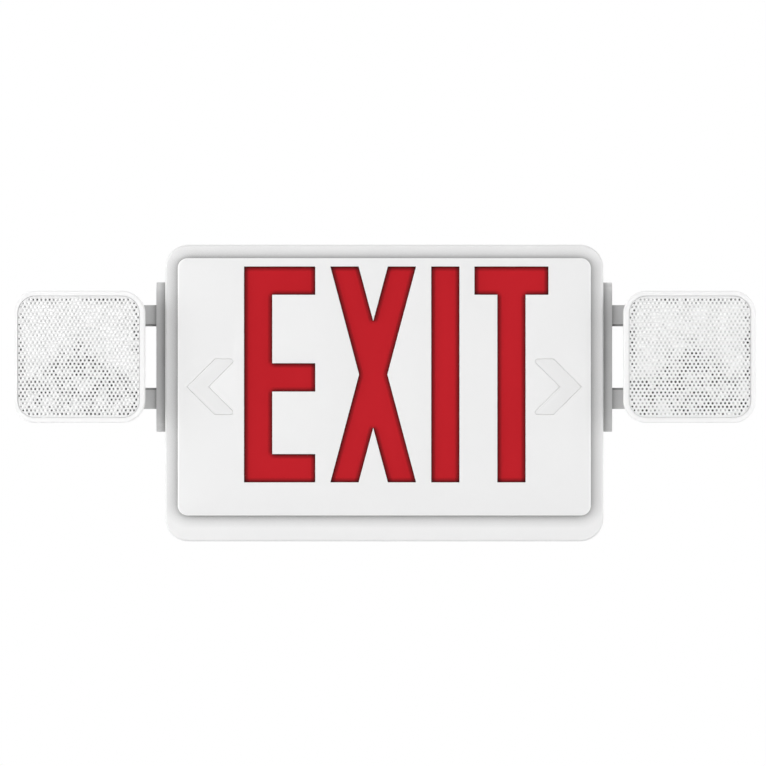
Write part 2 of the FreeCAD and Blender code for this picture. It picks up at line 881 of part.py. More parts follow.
def hub_nut():
    nut = hexagon(tilt_axis(nut_x), -RIGHT, nut_across_flats, nut_thick)
    return nut.cut(rod(tilt_axis(nut_x + 1), -RIGHT, hub_radius + seat_gap, nut_thick + 2))


def around_pan(width, height, corner, near, far):
    """Rounded slab centred on the lamp head."""
    return slab(width, height, corner, near, far, pan_x, yoke_z)


def head_shell():
    """Lamp head: flange, bowl and neck on a barrel that turns between the arms."""
    flange = around_pan(head_size, head_size, head_corner, flange_back, head_front)
    flange = bevel_front(flange, head_front, head_bevel)
    bowl = funnel((bowl_width, bowl_height), bowl_back, (bowl_front, bowl_front), flange_back,
                 bowl_corner, pan_x, yoke_z)
    neck = funnel((neck_width, bowl_height), bowl_back - neck_depth, (bowl_width, bowl_height),
                 bowl_back, neck_corner, pan_x, yoke_z)
    axle_low = at(pan_x, yoke_depth, yoke_z - barrel_half)
    barrel = rod(axle_low, UP, barrel_radius, 2 * barrel_half)
    web = centred(pan_x, yoke_z, neck_width - 2 * neck_corner, bowl_height, yoke_depth, bowl_back)
    shape = join([flange, bowl, neck, web, barrel])
    seat = head_size - 2 * lens_rim
    seat_corner = head_corner - lens_rim
    opening = seat - 2 * lens_ledge
    opening_corner = seat_corner - lens_ledge
    front = around_pan(seat, seat, seat_corner, lens_back, head_front + 1)
    well = around_pan(opening, opening, opening_corner, flange_back + head_wall, lens_back + 1)
    hollow = frustum((bowl_width - 2 * head_wall, bowl_height - 2 * head_wall), cavity_back,
                    (opening - 2 * head_wall, opening - 2 * head_wall), flange_back + head_wall,
                    pan_x, yoke_z)
    cuts = [front, well, hollow]
    for up in (-1, 1):
        mouth = at(pan_x, yoke_depth, yoke_z + up * (barrel_half + 1))
        cuts.append(rod(mouth, -UP * up, pin_radius + seat_gap, pin_hold + 1))
    lead_x = pan_x - bowl_width / 2 + head_wall + 2 * lead_hole
    cuts.append(rod(at(lead_x, bowl_back - neck_depth, yoke_z), OUT, lead_hole, neck_depth + head_wall + 1))
    return shape.cut(cuts)


def lens():
    size = head_size - 2 * lens_rim - 2 * insert_gap
    return around_pan(size, size, head_corner - lens_rim - insert_gap, lens_back, lens_front)


def reflector():
    """Four-sided metallised cup with a narrow lip under the lens."""
    lip_size = head_size - 2 * lens_rim - 2 * lens_ledge - 2 * pass_gap
    corner = head_corner - lens_rim - lens_ledge - pass_gap
    lip = around_pan(lip_size, lip_size, corner, lens_back - reflector_lip, lens_back)
    mouth = lip_size - 2 * reflector_edge
    throat = reflector_throat + 2 * reflector_wall
    cup = frustum((throat, throat), star_front, (mouth, mouth), lens_back, pan_x, yoke_z)
    cup = cup.common(around_pan(lip_size, lip_size, corner, star_front, lens_back))
    inside = mouth - 2 * reflector_wall
    hollow = funnel((reflector_throat, reflector_throat), star_front, (inside, inside), lens_back,
                   reflector_corner - reflector_wall, pan_x, yoke_z)
    return join([lip, cup]).cut(hollow)


def led_board():
    return centred(pan_x, yoke_z, star_size, star_size, cavity_back, star_front)


def head_led():
    return centred(pan_x, yoke_z, chip_size, chip_size, star_front, star_front + chip_thick)


def pan_pins():
    """The two headed pins that the head turns on."""
    pins = []
    for up in (-1, 1):
        top = yoke_z + up * (arm_spread + arm_height / 2 + pass_gap)
        foot = yoke_z + up * (barrel_half - pin_hold)
        shank = rod(at(pan_x, yoke_depth, foot), UP * up, pin_radius, abs(top - foot))
        head = hexagon(at(pan_x, yoke_depth, top), UP * up, pin_head, pin_head_thick)
        pins.append(join([shank, head]))
    return Part.makeCompound(pins)


def two_sides(name, shape):
    """The right-hand piece and its mirror image."""
    return {"right_" + name: shape, "left_" + name: mirrored(shape)}


def build():
    pieces = {
        "housing": housing(),
        "face_plate": face_plate(),
        "chevron_right": chevron_insert(1),
        "chevron_left": chevron_insert(-1),
        "red_diffuser": red_diffuser(),
        "light_box": light_box(),
        "led_strip_upper": led_strip(1),
        "led_strip_lower": led_strip(-1),
        "leds_upper": strip_leds(1),
        "leds_lower": strip_leds(-1),
        "back_plate": back_plate(),
        "control_board": control_board(),
        "board_screws": board_screws(),
        "terminal_block": terminal_block(),
        "relay": relay(),
        "lamp_connectors": lamp_connectors(),
        "capacitors": capacitors(),
        "test_switch": test_switch(),
        "switch_plunger": switch_plunger(),
        "test_button": test_button(),
        "status_lens": status_lens(),
        "status_led": status_led(),
        "transformer_core": transformer_core(),
        "transformer_coil": transformer_coil(),
        "battery_pack": battery_pack(),
        "battery_clip": battery_clip(),
        "clip_screws": clip_screws(),
    }
    for name, shape in (
        ("yoke", yoke()),
        ("friction_washer", friction_washer()),
        ("stop_washer", stop_washer()),
        ("hub_nut", hub_nut()),
        ("head_shell", head_shell()),
        ("lens", lens()),
        ("reflector", reflector()),
        ("led_board", led_board()),
        ("head_led", head_led()),
        ("pan_pins", pan_pins()),
    ):
        pieces.update(two_sides(name, shape))
    return pieces


os.makedirs("parts", exist_ok=True)
for node, solid in build().items():
    solid.exportStep("parts/" + node + ".step")
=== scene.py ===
import math

import bmesh
import bpy
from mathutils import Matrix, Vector
from mathutils.geometry import delaunay_2d_cdt


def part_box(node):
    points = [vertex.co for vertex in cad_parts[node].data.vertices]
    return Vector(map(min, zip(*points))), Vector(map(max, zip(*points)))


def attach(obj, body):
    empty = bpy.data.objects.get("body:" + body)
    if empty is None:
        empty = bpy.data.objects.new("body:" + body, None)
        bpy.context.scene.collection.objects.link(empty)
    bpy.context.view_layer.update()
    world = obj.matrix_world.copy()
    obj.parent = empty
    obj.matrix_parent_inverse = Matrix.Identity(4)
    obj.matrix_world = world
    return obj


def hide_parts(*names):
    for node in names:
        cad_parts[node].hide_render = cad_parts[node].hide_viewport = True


# Looks of a wall-mounted emergency exit light. Metres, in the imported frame: +X to the viewer's
# right, +Y into the wall, +Z up. A "depth" is a distance in front of the wall, so Y = -depth.

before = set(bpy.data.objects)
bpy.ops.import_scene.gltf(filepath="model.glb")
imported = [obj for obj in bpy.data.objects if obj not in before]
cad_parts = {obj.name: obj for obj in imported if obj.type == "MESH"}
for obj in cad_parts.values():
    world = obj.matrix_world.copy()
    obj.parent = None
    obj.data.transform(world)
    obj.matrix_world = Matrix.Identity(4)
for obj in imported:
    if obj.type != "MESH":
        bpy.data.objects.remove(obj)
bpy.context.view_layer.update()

MM = 0.001

# legend on the face plate, from the middle of the plate
letter_middle = 8.75 * MM  # above the middle of the plate
letter_height = 152.4 * MM
stroke = 20.0 * MM
letter_e = (-99.0 * MM, -48.65 * MM)  # left and right end of each letter
letter_x = (-38.1 * MM, 22.5 * MM)
letter_i = (33.1 * MM, 53.1 * MM)
letter_t = (63.6 * MM, 115.9 * MM)
arm_drop = 2.1 * MM  # middle arm of the E below the letters' middle
x_notch = 38.4 * MM

# face plate
skin = 2.5 * MM
outer_round = 1.2 * MM
cut_round = 0.35 * MM
plate_corner = 7.0 * MM
skirt_inset = 2.5 * MM
skirt_wall = 1.6 * MM
chevron_reach = 139.3 * MM
chevron_half = 19.8 * MM
chevron_width = 15.6 * MM
chevron_round = 1.8 * MM
chevron_ledge = 1.2 * MM
chevron_ledge_thick = 1.0 * MM
insert_gap = 0.15 * MM

# lamp lens
lens_corner = 12.35 * MM
prism_pitch = 2.9 * MM
prism_depth = 0.85 * MM
prism_margin = 0.35 * MM
lens_seat = 0.05 * MM

ROUND_STEPS = 4
CORNER_STEPS = 10
BEVEL_STEPS = 3
SHARP_ANGLE = 45  # degrees, of the chevrons' sharp ends
LEAST_MITRE = 1e-6
FILL_INSIDE = 1  # keeps only what lies inside the edges
FILL_MERGE = 0.0001 * MM

# edges sharper than these angles, in degrees, stay sharp
plate_crease = 35
lens_crease = 5
cad_crease = 30


# outlines, as lists of (x, z) that run anticlockwise seen from the front

def rounded_rectangle(width, height, radius):
    points = []
    for quarter, (side, up) in enumerate(((1, 1), (-1, 1), (-1, -1), (1, -1))):
        centre_x = side * (width / 2 - radius)
        centre_z = up * (height / 2 - radius)
        for step in range(CORNER_STEPS + 1):
            angle = math.radians(90 * (quarter + step / CORNER_STEPS))
            points.append((centre_x + radius * math.cos(angle),
                           centre_z + radius * math.sin(angle)))
    return points


def grown(points, distance):
    """The outline with every edge moved outwards, its corners mitred."""
    moved = []
    count = len(points)
    for index, here in enumerate(points):
        before = Vector(here) - Vector(points[index - 1])
        after = Vector(points[(index + 1) % count]) - Vector(here)
        normal_in = Vector((before.y, -before.x)).normalized()
        normal_out = Vector((after.y, -after.x)).normalized()
        mitre = normal_in + normal_out
        mitre *= distance / max(mitre.dot(normal_in), LEAST_MITRE)
        moved.append((here[0] + mitre.x, here[1] + mitre.y))
    return moved


def e_outline():
    left, right = letter_e
    half = letter_height / 2
    stem = left + stroke
    points = [(left, -half), (right, -half), (right, -half + stroke), (stem, -half + stroke)]
    middle = -arm_drop
    points += [(stem, middle - stroke / 2), (right, middle - stroke / 2),
               (right, middle + stroke / 2), (stem, middle + stroke / 2)]
    points += [(stem, half - stroke), (right, half - stroke), (right, half), (left, half)]
    return points


def x_outline():
    left, right = letter_x
    middle = (left + right) / 2
    half = letter_height / 2
    waist = stroke / 2
    quarter = [(right, half), (right - stroke, half), (middle, half - x_notch)]
    top = quarter + [(left + stroke, half), (left, half), (middle - waist, 0)]
    bottom = [(x, -z) for x, z in reversed(top)]
    return top + bottom[1:] + [(middle + waist, 0)]


def i_outline():
    left, right = letter_i
    half = letter_height / 2
    return [(left, -half), (right, -half), (right, half), (left, half)]


def t_outline():
    left, right = letter_t
    half = letter_height / 2
    middle = (left + right) / 2
    stem = stroke / 2
    return [(middle - stem, -half), (middle + stem, -half), (middle + stem, half - stroke),
            (right, half - stroke), (right, half), (left, half), (left, half - stroke),
            (middle - stem, half - stroke)]


def chevron_outline(side):
    """Arrow head that points to one side, its two sharp ends rounded."""
    back = chevron_reach - chevron_half
    sharp = back - chevron_width
    trim = chevron_round / math.tan(math.radians(SHARP_ANGLE / 2))
    centre = (sharp + trim, chevron_half - chevron_round)
    upper = [(chevron_reach, 0), (back, chevron_half)]
    for step in range(ROUND_STEPS + 1):
        angle = math.radians(90 + (180 - SHARP_ANGLE) * step / ROUND_STEPS)
        upper.append((centre[0] + chevron_round * math.cos(angle),
                      centre[1] + chevron_round * math.sin(angle)))
    lower = [(x, -z) for x, z in reversed(upper[1:])]
    points = upper + [(chevron_reach - chevron_width, 0)] + lower
    if side < 0:
        points = [(-x, z) for x, z in reversed(points)]
    return points


# mesh building

def ring(bm, points, depth, centre):
    """Vertices at one depth round a centre."""
    return [bm.verts.new((centre[0] + x, -depth, centre[1] + z)) for x, z in points]


def bridge(bm, first, second):
    """Faces between two rings of as many vertices."""
    count = len(first)
    for index in range(count):
        after = (index + 1) % count
        bm.faces.new((first[index], first[after], second[after], second[index]))


def within(point, outline):
    """Whether a point lies inside an outline."""
    crossed = False
    for index, here in enumerate(outline):
        before = outline[index - 1]
        if (here.y > point.y) != (before.y > point.y):
            share = (point.y - here.y) / (before.y - here.y)
            if point.x < here.x + share * (before.x - here.x):
                crossed = not crossed
    return crossed


def fill(bm, rings, extra=()):
    """Flat face between an outer ring and the rings of its holes, through any extra points."""
    verts = [vert for loop in rings for vert in loop] + list(extra)
    flat = [Vector((vert.co.x, vert.co.z)) for vert in verts]
    edges = []
    outlines = []
    for loop in rings:
        start = len(edges)
        edges += [(start + index, start + (index + 1) % len(loop)) for index in range(len(loop))]
        outlines.append(flat[start:start + len(loop)])
    found = delaunay_2d_cdt(flat, edges, [], FILL_INSIDE, FILL_MERGE)
    sources = [verts[origin[0]] for origin in found[3]]
    for face in found[2]:
        middle = sum((found[0][index] for index in face), Vector((0, 0))) / len(face)
        if not any(within(middle, hole) for hole in outlines[1:]):
            bm.faces.new([sources[index] for index in face])


def rounded_edge(radius, depth):
    """(inset, depth) of each ring of a rounded front edge, from the front face outwards."""
    rings = []
    for step in range(ROUND_STEPS + 1):
        angle = math.radians(90 * step / ROUND_STEPS)
        rings.append((radius * (1 - math.sin(angle)), depth - radius * (1 - math.cos(angle))))
    return rings


def walls(bm, outline, profile, outwards, centre):
    """Joined rings of one outline through a profile of (inset, depth); gives first and last."""
    rings = [ring(bm, grown(outline, outwards * inset), depth, centre)
             for inset, depth in profile]
    for first, second in zip(rings, rings[1:]):
        bridge(bm, first, second)
    return rings[0], rings[-1]


def finished(bm, name, material, body, replaced, crease=plate_crease):
    """Turns a mesh into a piece on a body, in place of CAD nodes."""
    bmesh.ops.recalc_face_normals(bm, faces=bm.faces)
    mesh = bpy.data.meshes.new(name)
    bm.to_mesh(mesh)
    bm.free()
    mesh.materials.append(material)
    piece = bpy.data.objects.new(name, mesh)
    bpy.context.scene.collection.objects.link(piece)
    smooth(piece, crease)
    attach(piece, body)
    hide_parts(*replaced)


def smooth(piece, angle):
    """Smooth shading with edges sharper than the angle kept."""
    mesh = piece.data
    mesh.shade_smooth()
    mesh.set_sharp_from_angle(angle=math.radians(angle))


# materials

WHITE = (1, 1, 1)
NOISE_SPAN = (0.3, 0.7)  # what a noise texture mostly stays within
MIX_FACTOR, MIX_FIRST, MIX_SECOND, MIX_RESULT = 0, 6, 7, 2  # sockets of a colour Mix node
clear_index = 1.49
gloss_swing = 0.05
grain_depth = 0.012 * MM
ripple_depth = 0.004 * MM
ripple_size = 4 * MM
sheet_grain_depth = 0.01 * MM
# reach and strength of the painted shade on the red sheet along the stencil's edges
sheet_shade_reach = 3.6 * MM
sheet_shade_strength = 3.2
shade_samples = 8
highlight_turn = (-0.98, -0.85)  # the normal's Y where the painted highlight on a rounded edge starts and is full white

# noises, as (cells per metre, detail)
flow_noise = (18, 4)
gloss_noise = (240, 2)
wear_noise = (90, 4)
haze_noise = (160, 3)
patch_noise = (70, 2)
speckle_noise = (260, 1)
cloud_noise = (9, 3)
satin_noise = (300, 2)
sheet_grain_noise = (1600, 2)
relief_detail = 2

# painted shade of the lamp lens
point_dark = (0.35, 0.75)  # share of a prism's depth where it starts to darken and is dark
gable_rise = (6 * MM, 20 * MM)  # height over the lens's middle where the painted shade of the cup's fold fades
gable_slope = 0.8
gable_pale = 0.3
border_dark = (35 * MM, 40 * MM)  # from the lens's middle, where its painted dark border starts
patch_weight = (0.2, 2.2)
speckle_weight = (0.1, 1.5)


def new_material(name):
    material = bpy.data.materials.new(name)
    material.use_nodes = True
    nodes = material.node_tree.nodes
    shader = nodes["Principled BSDF"]
    coords = nodes.new("ShaderNodeTexCoord")
    return material, nodes, material.node_tree.links, shader, coords


def feed(links, socket, value):
    """Links a socket to another, or sets it to a colour or a number."""
    if isinstance(value, bpy.types.NodeSocket):
        links.new(value, socket)
    elif isinstance(value, tuple):
        socket.default_value = (*value, 1)
    else:
        socket.default_value = value


def noise(nodes, links, coords, scale, detail):
    """Noise over the piece."""
    node = nodes.new("ShaderNodeTexNoise")
    node.inputs["Scale"].default_value = scale
    node.inputs["Detail"].default_value = detail
    links.new(coords.outputs["Object"], node.inputs["Vector"])
    return node.outputs["Fac"]


def mapped(nodes, links, value, span, low, high, smooth_ends=False):
    """Value taken from a span to a range between two ends, and held at them."""
    node = nodes.new("ShaderNodeMapRange")
    if smooth_ends:
        node.interpolation_type = "SMOOTHSTEP"
    feed(links, node.inputs["Value"], value)
    for name, number in zip(("From Min", "From Max", "To Min", "To Max"), (*span, low, high)):
        feed(links, node.inputs[name], number)
    return node.outputs["Result"]


def spread(nodes, links, value, low, high):
    """Noise stretched to a range."""
    return mapped(nodes, links, value, NOISE_SPAN, low, high)


def reckoned(nodes, links, operation, *values, clamped=False):
    """Result of a Math node on sockets or numbers."""
    node = nodes.new("ShaderNodeMath")
    node.operation = operation
    node.use_clamp = clamped
    for socket, value in zip(node.inputs, values):
        feed(links, socket, value)
    return node.outputs["Value"]


def mixed(nodes, links, share, first, second, blend="MIX"):
    """Colour that moves from one to another with a share."""
    node = nodes.new("ShaderNodeMix")
    node.data_type = "RGBA"
    node.blend_type = blend
    feed(links, node.inputs[MIX_FACTOR], share)
    feed(links, node.inputs[MIX_FIRST], first)
    feed(links, node.inputs[MIX_SECOND], second)
    return node.outputs[MIX_RESULT]


def parted(nodes, links, vector):
    """X, Y and Z sockets of a vector."""
    node = nodes.new("ShaderNodeSeparateXYZ")
    links.new(vector, node.inputs["Vector"])
    return node.outputs["X"], node.outputs["Y"], node.outputs["Z"]


def bump(nodes, links, shader, height, distance):
    node = nodes.new("ShaderNodeBump")
    node.inputs["Distance"].default_value = distance
    links.new(height, node.inputs["Height"])
    links.new(node.outputs["Normal"], shader.inputs["Normal"])


def painted_crevice_shade(nodes, links, tone, reach, strength):
    """Colour darkened by painted shade in the corners, within a reach."""
    near = nodes.new("ShaderNodeAmbientOcclusion")
    near.samples = shade_samples
    near.inputs["Distance"].default_value = reach
    depth = reckoned(nodes, links, "POWER", near.outputs["AO"], strength)
    return mixed(nodes, links, 1.0, tone, depth, "MULTIPLY")


def painted_edge_highlight(nodes, links, coords, tone):
    """Colour with a painted highlight: it turns white where the surface rounds away from the
    front.
    """
    facing = parted(nodes, links, coords.outputs["Normal"])[1]
    turned = mapped(nodes, links, facing, highlight_turn, 0, 1)
    return mixed(nodes, links, turned, tone, WHITE)


def moulded(name, colour, roughness=0.42, grain_size=0.45 * MM, mottle=0.02,
            corners=0.0, corner_depth=1.0, edge_highlight=False):
    """Moulded plastic: a fine spark-eroded grain, faint flow mottling and uneven gloss, with
    painted shade in its corners and a painted highlight on its rounded edges when asked.
    """
    material, nodes, links, shader, coords = new_material(name)
    flow = spread(nodes, links, noise(nodes, links, coords, *flow_noise), 0, 1)
    shade = tuple(channel * (1 - mottle) for channel in colour)
    tone = mixed(nodes, links, flow, shade, colour)
    # painted highlight: rounded edges turn white
    if edge_highlight:
        tone = painted_edge_highlight(nodes, links, coords, tone)
    # painted shade: the colour is darkened in the corners within the reach
    if corners:
        tone = painted_crevice_shade(nodes, links, tone, corners, corner_depth)
    links.new(tone, shader.inputs["Base Color"])
    gloss = noise(nodes, links, coords, *gloss_noise)
    links.new(spread(nodes, links, gloss, roughness - gloss_swing, roughness + gloss_swing),
              shader.inputs["Roughness"])
    grain = noise(nodes, links, coords, 1 / grain_size, relief_detail)
    bump(nodes, links, shader, grain, grain_depth)
    return material


def metal(name, colour, roughness):
    """Bare or plated metal with a faintly uneven surface."""
    material, nodes, links, shader, coords = new_material(name)
    shader.inputs["Metallic"].default_value = 1.0
    wear = noise(nodes, links, coords, *wear_noise)
    dull = tuple(channel * 0.9 for channel in colour)
    tone = mixed(nodes, links, spread(nodes, links, wear, 0, 1), dull, colour)
    links.new(tone, shader.inputs["Base Color"])
    links.new(spread(nodes, links, wear, roughness * 0.7, roughness * 1.3),
              shader.inputs["Roughness"])
    ripple = noise(nodes, links, coords, 1 / ripple_size, relief_detail)
    bump(nodes, links, shader, ripple, ripple_depth)
    return material


def clear(name, colour, roughness):
    """Clear moulded plastic with a faint haze."""
    material, nodes, links, shader, coords = new_material(name)
    shader.inputs["Base Color"].default_value = (*colour, 1)
    shader.inputs["Transmission Weight"].default_value = 1.0
    shader.inputs["IOR"].default_value = clear_index
    haze = noise(nodes, links, coords, *haze_noise)
    links.new(spread(nodes, links, haze, roughness * 0.6, roughness * 1.4),
              shader.inputs["Roughness"])
    return material


def prism_plastic():
    """Frosted clear plastic with painted shade, each prism darker towards its sunk point.

    The painted shade is darkest where the cup behind the lens folds: below a gable over its
    middle and round its border. Both lenses use it, being mirror images.
    """
    material, nodes, links, shader, coords = new_material("prism_plastic")
    shader.inputs["Transmission Weight"].default_value = 0.12
    shader.inputs["IOR"].default_value = clear_index
    low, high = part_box("right_lens")
    x, y, z = parted(nodes, links, coords.outputs["Object"])
    across = reckoned(nodes, links, "ABSOLUTE", x)
    across = reckoned(nodes, links, "SUBTRACT", across, (low.x + high.x) / 2)
    across = reckoned(nodes, links, "ABSOLUTE", across)
    up = reckoned(nodes, links, "SUBTRACT", z, (low.z + high.z) / 2)

    slope = reckoned(nodes, links, "MULTIPLY", across, gable_slope)
    ridge = reckoned(nodes, links, "ADD", up, slope)
    gable = mapped(nodes, links, ridge, gable_rise, 1, gable_pale, True)
    outer = reckoned(nodes, links, "MAXIMUM", across, reckoned(nodes, links, "ABSOLUTE", up))
    border = mapped(nodes, links, outer, border_dark, 0, 1, True)
    folds = reckoned(nodes, links, "MAXIMUM", gable, border)

    # painted shade: darker towards each prism's sunk point, patchy, speckled and deepest at the
    # cup's folds
    span = tuple(low.y + share * prism_depth for share in point_dark)
    strength = mapped(nodes, links, y, span, 0, 1, True)
    patches = spread(nodes, links, noise(nodes, links, coords, *patch_noise), *patch_weight)
    speckle = spread(nodes, links, noise(nodes, links, coords, *speckle_noise), *speckle_weight)
    for part in (patches, speckle, folds):
        strength = reckoned(nodes, links, "MULTIPLY", strength, part, clamped=True)
    links.new(mixed(nodes, links, strength, (0.98, 0.98, 0.98), (0.02, 0.02, 0.02)),
              shader.inputs["Base Color"])
    haze = noise(nodes, links, coords, *haze_noise)
    links.new(spread(nodes, links, haze, 0.12, 0.22), shader.inputs["Roughness"])
    return material


def translucent_red():
    """Satin red sheet, a little uneven as in a thin moulding, with painted shade along the
    stencil's edges.
    """
    material, nodes, links, shader, coords = new_material("red_sheet")
    cloud = spread(nodes, links, noise(nodes, links, coords, *cloud_noise), 0, 1)
    tone = mixed(nodes, links, cloud, (0.49, 0.009, 0.016), (0.53, 0.011, 0.019))
    # painted shade where the stencil's edges shadow the sheet
    tone = painted_crevice_shade(nodes, links, tone, sheet_shade_reach, sheet_shade_strength)
    links.new(tone, shader.inputs["Base Color"])
    shader.inputs["Specular IOR Level"].default_value = 0.15
    satin = noise(nodes, links, coords, *satin_noise)
    links.new(spread(nodes, links, satin, 0.36, 0.46), shader.inputs["Roughness"])
    grain = noise(nodes, links, coords, *sheet_grain_noise)
    bump(nodes, links, shader, grain, sheet_grain_depth)
    return material


# pieces

def box_middle(node):
    """X and Z of the middle of a CAD node."""
    low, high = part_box(node)
    return (low.x + high.x) / 2, (low.z + high.z) / 2


def legend_face(material):
    """Face plate with the letters and the openings of the direction inserts cut through it."""
    low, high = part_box("face_plate")
    rim_depth = -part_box("housing")[0].y
    front, rear = -low.y, -low.y - skin
    skirt_end = -high.y
    centre = box_middle("face_plate")
    outline = rounded_rectangle(high.x - low.x, high.z - low.z, plate_corner)
    bm = bmesh.new()
    profile = rounded_edge(outer_round, front)
    profile += [(0, rim_depth), (skirt_inset, rim_depth), (skirt_inset, skirt_end),
                (skirt_inset + skirt_wall, skirt_end), (skirt_inset + skirt_wall, rear)]
    outer_front, outer_rear = walls(bm, outline, profile, -1, centre)
    fronts, rears = [outer_front], [outer_rear]
    through = rounded_edge(cut_round, front) + [(0, rear)]
    for letter in (e_outline(), x_outline(), i_outline(), t_outline()):
        raised = [(x, z + letter_middle) for x, z in letter]
        first, last = walls(bm, raised, through, 1, centre)
        fronts.append(first)
        rears.append(last)
    ledge = rounded_edge(cut_round, front) + [(0, rear + chevron_ledge_thick),
                                              (chevron_ledge, rear + chevron_ledge_thick),
                                              (chevron_ledge, rear)]
    for side in (-1, 1):
        first, last = walls(bm, chevron_outline(side), ledge, 1, centre)
        fronts.append(first)
        rears.append(last)
    fill(bm, fronts)
    fill(bm, rears)
    finished(bm, "legend_face", material, "case", ["face_plate"])


def direction_insert(side, material):
    """Snap-in arrow head with a softened front edge and a ledge behind."""
    name = "right" if side > 0 else "left"
    low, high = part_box("chevron_" + name)
    front, rear = -low.y, -high.y
    centre = box_middle("face_plate")
    bm = bmesh.new()
    body = grown(chevron_outline(side), -insert_gap)
    ledge_top = rear + chevron_ledge_thick - insert_gap
    profile = rounded_edge(cut_round, front)
    profile += [(0, ledge_top), (-chevron_ledge, ledge_top), (-chevron_ledge, rear)]
    first, last = walls(bm, body, profile, -1, centre)
    fill(bm, [first])
    fill(bm, [last])
    finished(bm, "direction_insert_" + name, material, "case", ["chevron_" + name])


def inside(x, z, half_width, half_height, radius):
    """Whether a point lies within a rounded rectangle round the origin."""
    across = max(abs(x) - half_width + radius, 0)
    up = max(abs(z) - half_height + radius, 0)
    return (abs(x) <= half_width and abs(z) <= half_height
            and math.hypot(across, up) <= radius)


def stepped(outline, step):
    """Outline with points added along its long straight sides."""
    points = []
    for index, here in enumerate(outline):
        reach = Vector(outline[(index + 1) % len(outline)]) - Vector(here)
        count = max(1, round(reach.length / step))
        for number in range(count):
            share = number / count
            points.append((here[0] + share * reach.x, here[1] + share * reach.y))
    return points


def prismatic_lens(side, material):
    """Clear lens with close-packed six-sided prisms sunk into its front."""
    name = side + "_lens"
    low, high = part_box(name)
    front, rear = -low.y, -high.y + lens_seat
    centre = box_middle(name)
    width, height = high.x - low.x, high.z - low.z
    bm = bmesh.new()
    outline = stepped(rounded_rectangle(width, height, lens_corner), prism_pitch / 2)
    edge = rounded_edge(cut_round, front) + [(0, rear)]
    first, last = walls(bm, outline, edge, -1, centre)
    row_height = prism_pitch * math.sqrt(3) / 2
    half_width = width / 2 - cut_round - prism_margin
    half_height = height / 2 - cut_round - prism_margin
    radius = lens_corner - cut_round - prism_margin
    rows = int(half_height / row_height) + 1
    columns = int(half_width / prism_pitch) + 2
    bottoms, rims = [], {}
    for row in range(-rows, rows + 1):
        for column in range(-columns, columns + 1):
            x = (column + 0.5 * (row % 2)) * prism_pitch
            z = row * row_height
            corners = []
            for number in range(6):
                angle = math.radians(30 + 60 * number)
                corner_x = x + prism_pitch / math.sqrt(3) * math.cos(angle)
                corner_z = z + prism_pitch / math.sqrt(3) * math.sin(angle)
                corners.append((corner_x, corner_z))
            if inside(x, z, half_width, half_height, radius):
                bottoms.append((x, z))
                for a, b in corners:
                    if inside(a, b, half_width, half_height, radius):
                        rims[round(a / MM, 2), round(b / MM, 2)] = (a, b)
    points = ring(bm, list(rims.values()), front, centre)
    points += ring(bm, bottoms, front - prism_depth, centre)
    fill(bm, [first], points)
    fill(bm, [last])
    finished(bm, side + "_prism_lens", material, side + "_lamp", [name],
             lens_crease)


def dress(nodes, material, bevel=0.0):
    """Material and softened edges on CAD pieces."""
    for name in nodes:
        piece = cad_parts[name]
        piece.data.materials.clear()
        piece.data.materials.append(material)
        smooth(piece, cad_crease)
        if bevel:
            softened = piece.modifiers.new("edges", "BEVEL")
            softened.width = bevel
            softened.segments = BEVEL_STEPS
            softened.limit_method = "ANGLE"
            softened.angle_limit = math.radians(cad_crease)
            softened.harden_normals = True
            softened.use_clamp_overlap = True


def both(name):
    """The left and the right node of a pair."""
    return ["left_" + name, "right_" + name]


